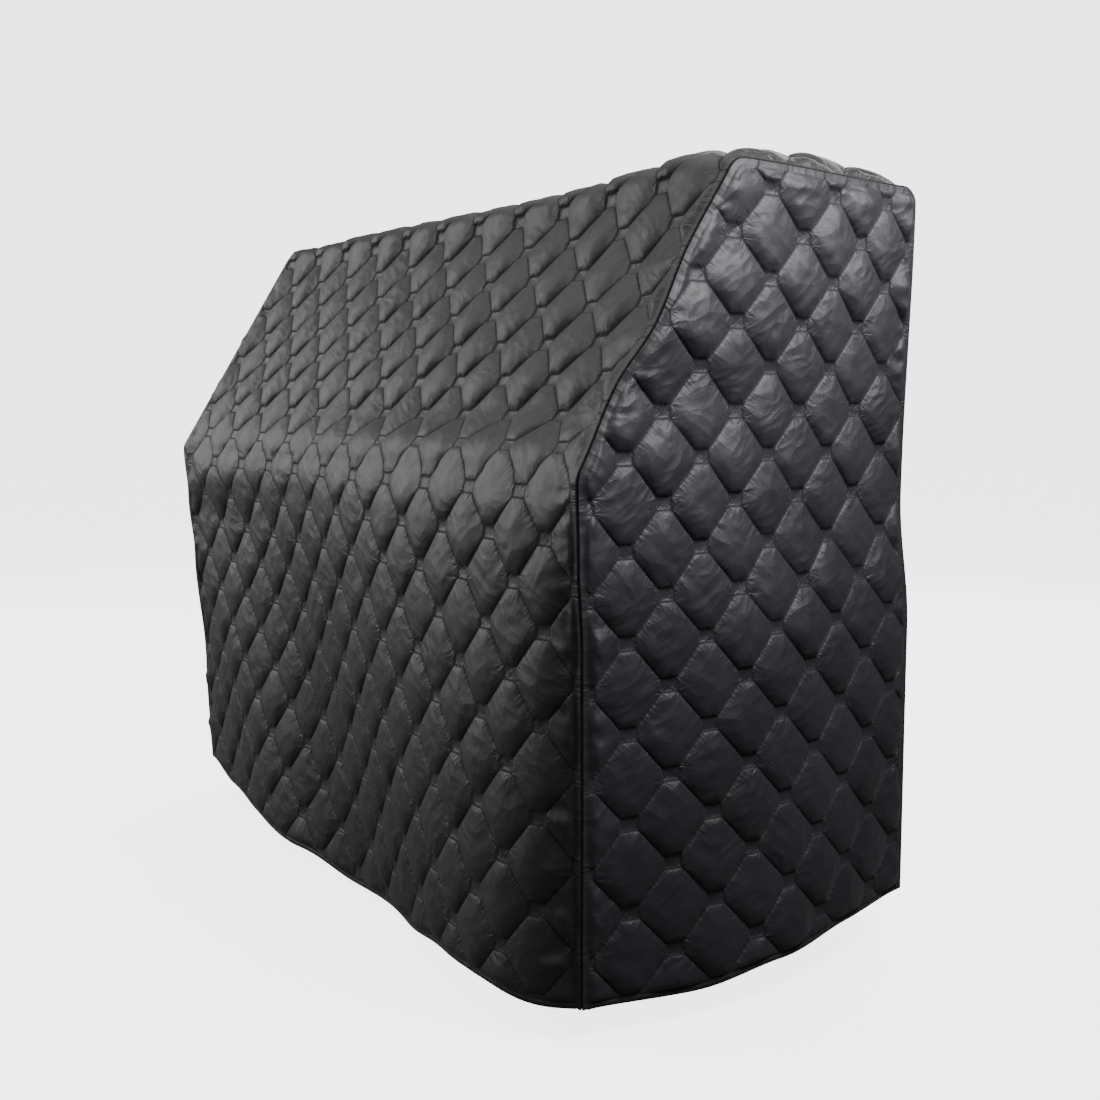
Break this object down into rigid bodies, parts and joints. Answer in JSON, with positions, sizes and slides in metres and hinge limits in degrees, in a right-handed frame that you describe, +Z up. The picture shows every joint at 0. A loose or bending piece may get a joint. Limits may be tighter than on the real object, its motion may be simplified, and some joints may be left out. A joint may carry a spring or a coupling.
{
  "type": "quilted piano cover",
  "caption": "Quilted satin dust cover for an upright piano, open below, with a sloped front over the keyboard and two shaped end panels.",
  "frame": {"origin": "under the middle of the cover's box, at the height of the hem's lowest point", "axes": "+Z up, +X along the piano towards the treble end, -Y towards the player, so the keyboard side faces -Y"},
  "size_m": [1.6099, 0.7782, 1.2907],
  "materials": {
    "body_quilt": "black quilted satin-weave nylon, softly glossy",
    "panel_quilt": "black quilted satin-weave nylon, softly glossy"
  },
  "bodies": {
    "root": {"body_cloth": "body_quilt", "right_end_panel": "panel_quilt", "left_end_panel": "panel_quilt"}
  },
  "joints": []
}
